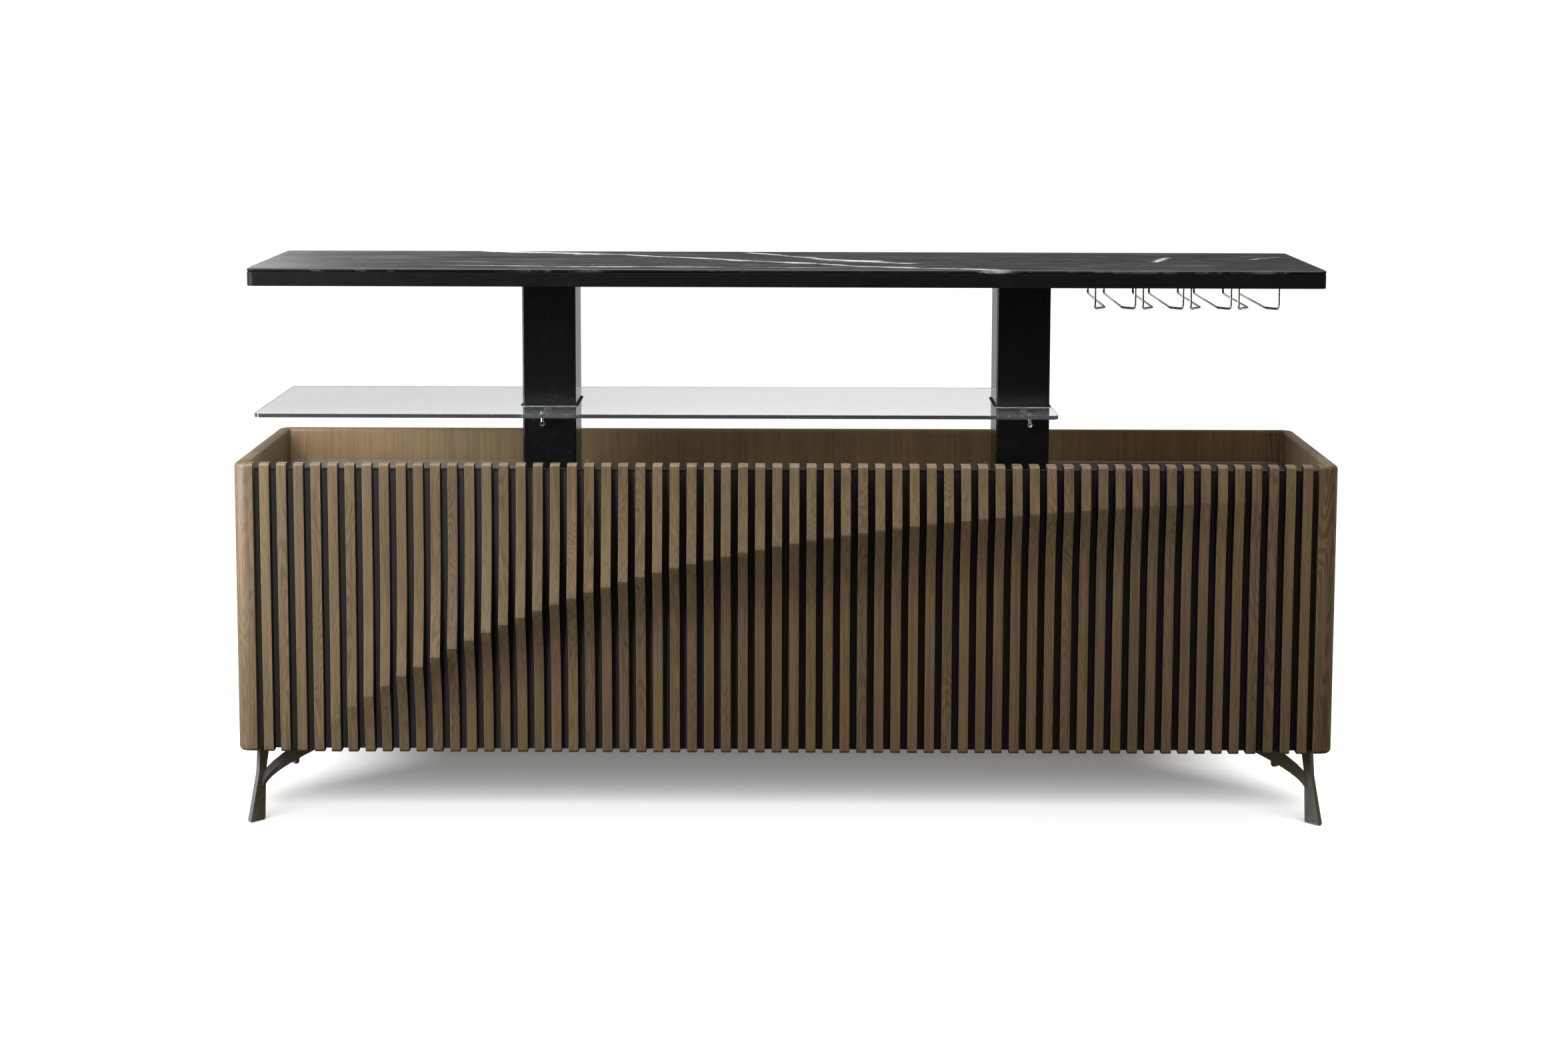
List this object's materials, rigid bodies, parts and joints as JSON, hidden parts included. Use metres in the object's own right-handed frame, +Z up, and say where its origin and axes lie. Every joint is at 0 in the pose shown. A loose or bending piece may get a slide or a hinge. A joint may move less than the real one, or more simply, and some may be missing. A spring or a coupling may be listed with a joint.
{
  "type": "bar sideboard",
  "caption": "Long sideboard with a relief-carved slatted oak front on forked legs; two columns raise a stone top with glass shelves and stemware racks.",
  "frame": {"origin": "on the floor, midway along the length and the depth", "axes": "+X to the viewer's right along the length, +Y from the slatted front to the rear, +Z up"},
  "size_m": [2.2, 0.556, 1.126],
  "materials": {
    "oak": "stained oak, vertical grain, matt lacquer",
    "black_board": "black matt lacquered board",
    "stone": "black marble with fine white veins, satin",
    "black_paint": "black satin powder coat on steel",
    "grey_casting": "dark grey-green satin, cast aluminium",
    "bare_steel": "zinc-plated steel",
    "chrome": "polished chrome",
    "nylon": "natural nylon",
    "black_plastic": "moulded, fine texture",
    "rubber": "matt",
    "clear_glass": "clear toughened glass with polished edges"
  },
  "bodies": {
    "cabinet": {"side_panel_left": "oak", "side_panel_right": "oak", "corner_post_front_left": "oak", "corner_post_front_right": "oak", "corner_post_rear_left": "oak", "corner_post_rear_right": "oak", "rear_panel": "oak", "floor_panel": "oak", "slat_panel_1": "oak", "slat_panel_2": "oak", "slat_panel_3": "oak", "slat_panel_4": "oak", "leg_front_left": "grey_casting", "leg_front_right": "grey_casting", "leg_rear_left": "grey_casting", "leg_rear_right": "grey_casting", "leg_glide_front_left": "rubber", "leg_glide_front_right": "rubber", "leg_glide_rear_left": "rubber", "leg_glide_rear_right": "rubber", "lift_mast_left": "bare_steel", "lift_mast_right": "bare_steel", "mast_slider_left": "nylon", "mast_slider_right": "nylon", "drive_housing_left": "bare_steel", "drive_housing_right": "bare_steel", "control_box": "black_plastic", "power_inlet": "black_plastic", "motor_lead_left": "rubber", "motor_lead_right": "rubber"},
    "lift": {"stone_top": "stone", "top_board": "black_board", "column_sleeve_left": "black_paint", "column_sleeve_right": "black_paint", "column_cap_left": "black_paint", "column_cap_right": "black_paint", "sleeve_glide_left": "nylon", "sleeve_glide_right": "nylon", "drive_rod_left": "bare_steel", "drive_rod_right": "bare_steel", "glass_shelf_upper": "clear_glass", "glass_shelf_lower_left": "clear_glass", "glass_shelf_lower_right": "clear_glass", "shelf_gasket_upper_left": "rubber", "shelf_gasket_upper_right": "rubber", "shelf_gasket_lower_left": "rubber", "shelf_gasket_lower_right": "rubber", "shelf_support_upper_left_front": "chrome", "shelf_support_upper_left_rear": "chrome", "shelf_support_upper_right_front": "chrome", "shelf_support_upper_right_rear": "chrome", "shelf_support_lower_left_front": "chrome", "shelf_support_lower_left_rear": "chrome", "shelf_support_lower_right_front": "chrome", "shelf_support_lower_right_rear": "chrome", "glass_rack_1": "chrome", "glass_rack_2": "chrome", "glass_rack_3": "chrome", "glass_rack_4": "chrome"}
  },
  "joints": [
    {"name": "top_lift", "type": "slide", "parent": "cabinet", "child": "lift", "axis": [0, 0, 1], "range_m": [-0.386, 0]}
  ]
}
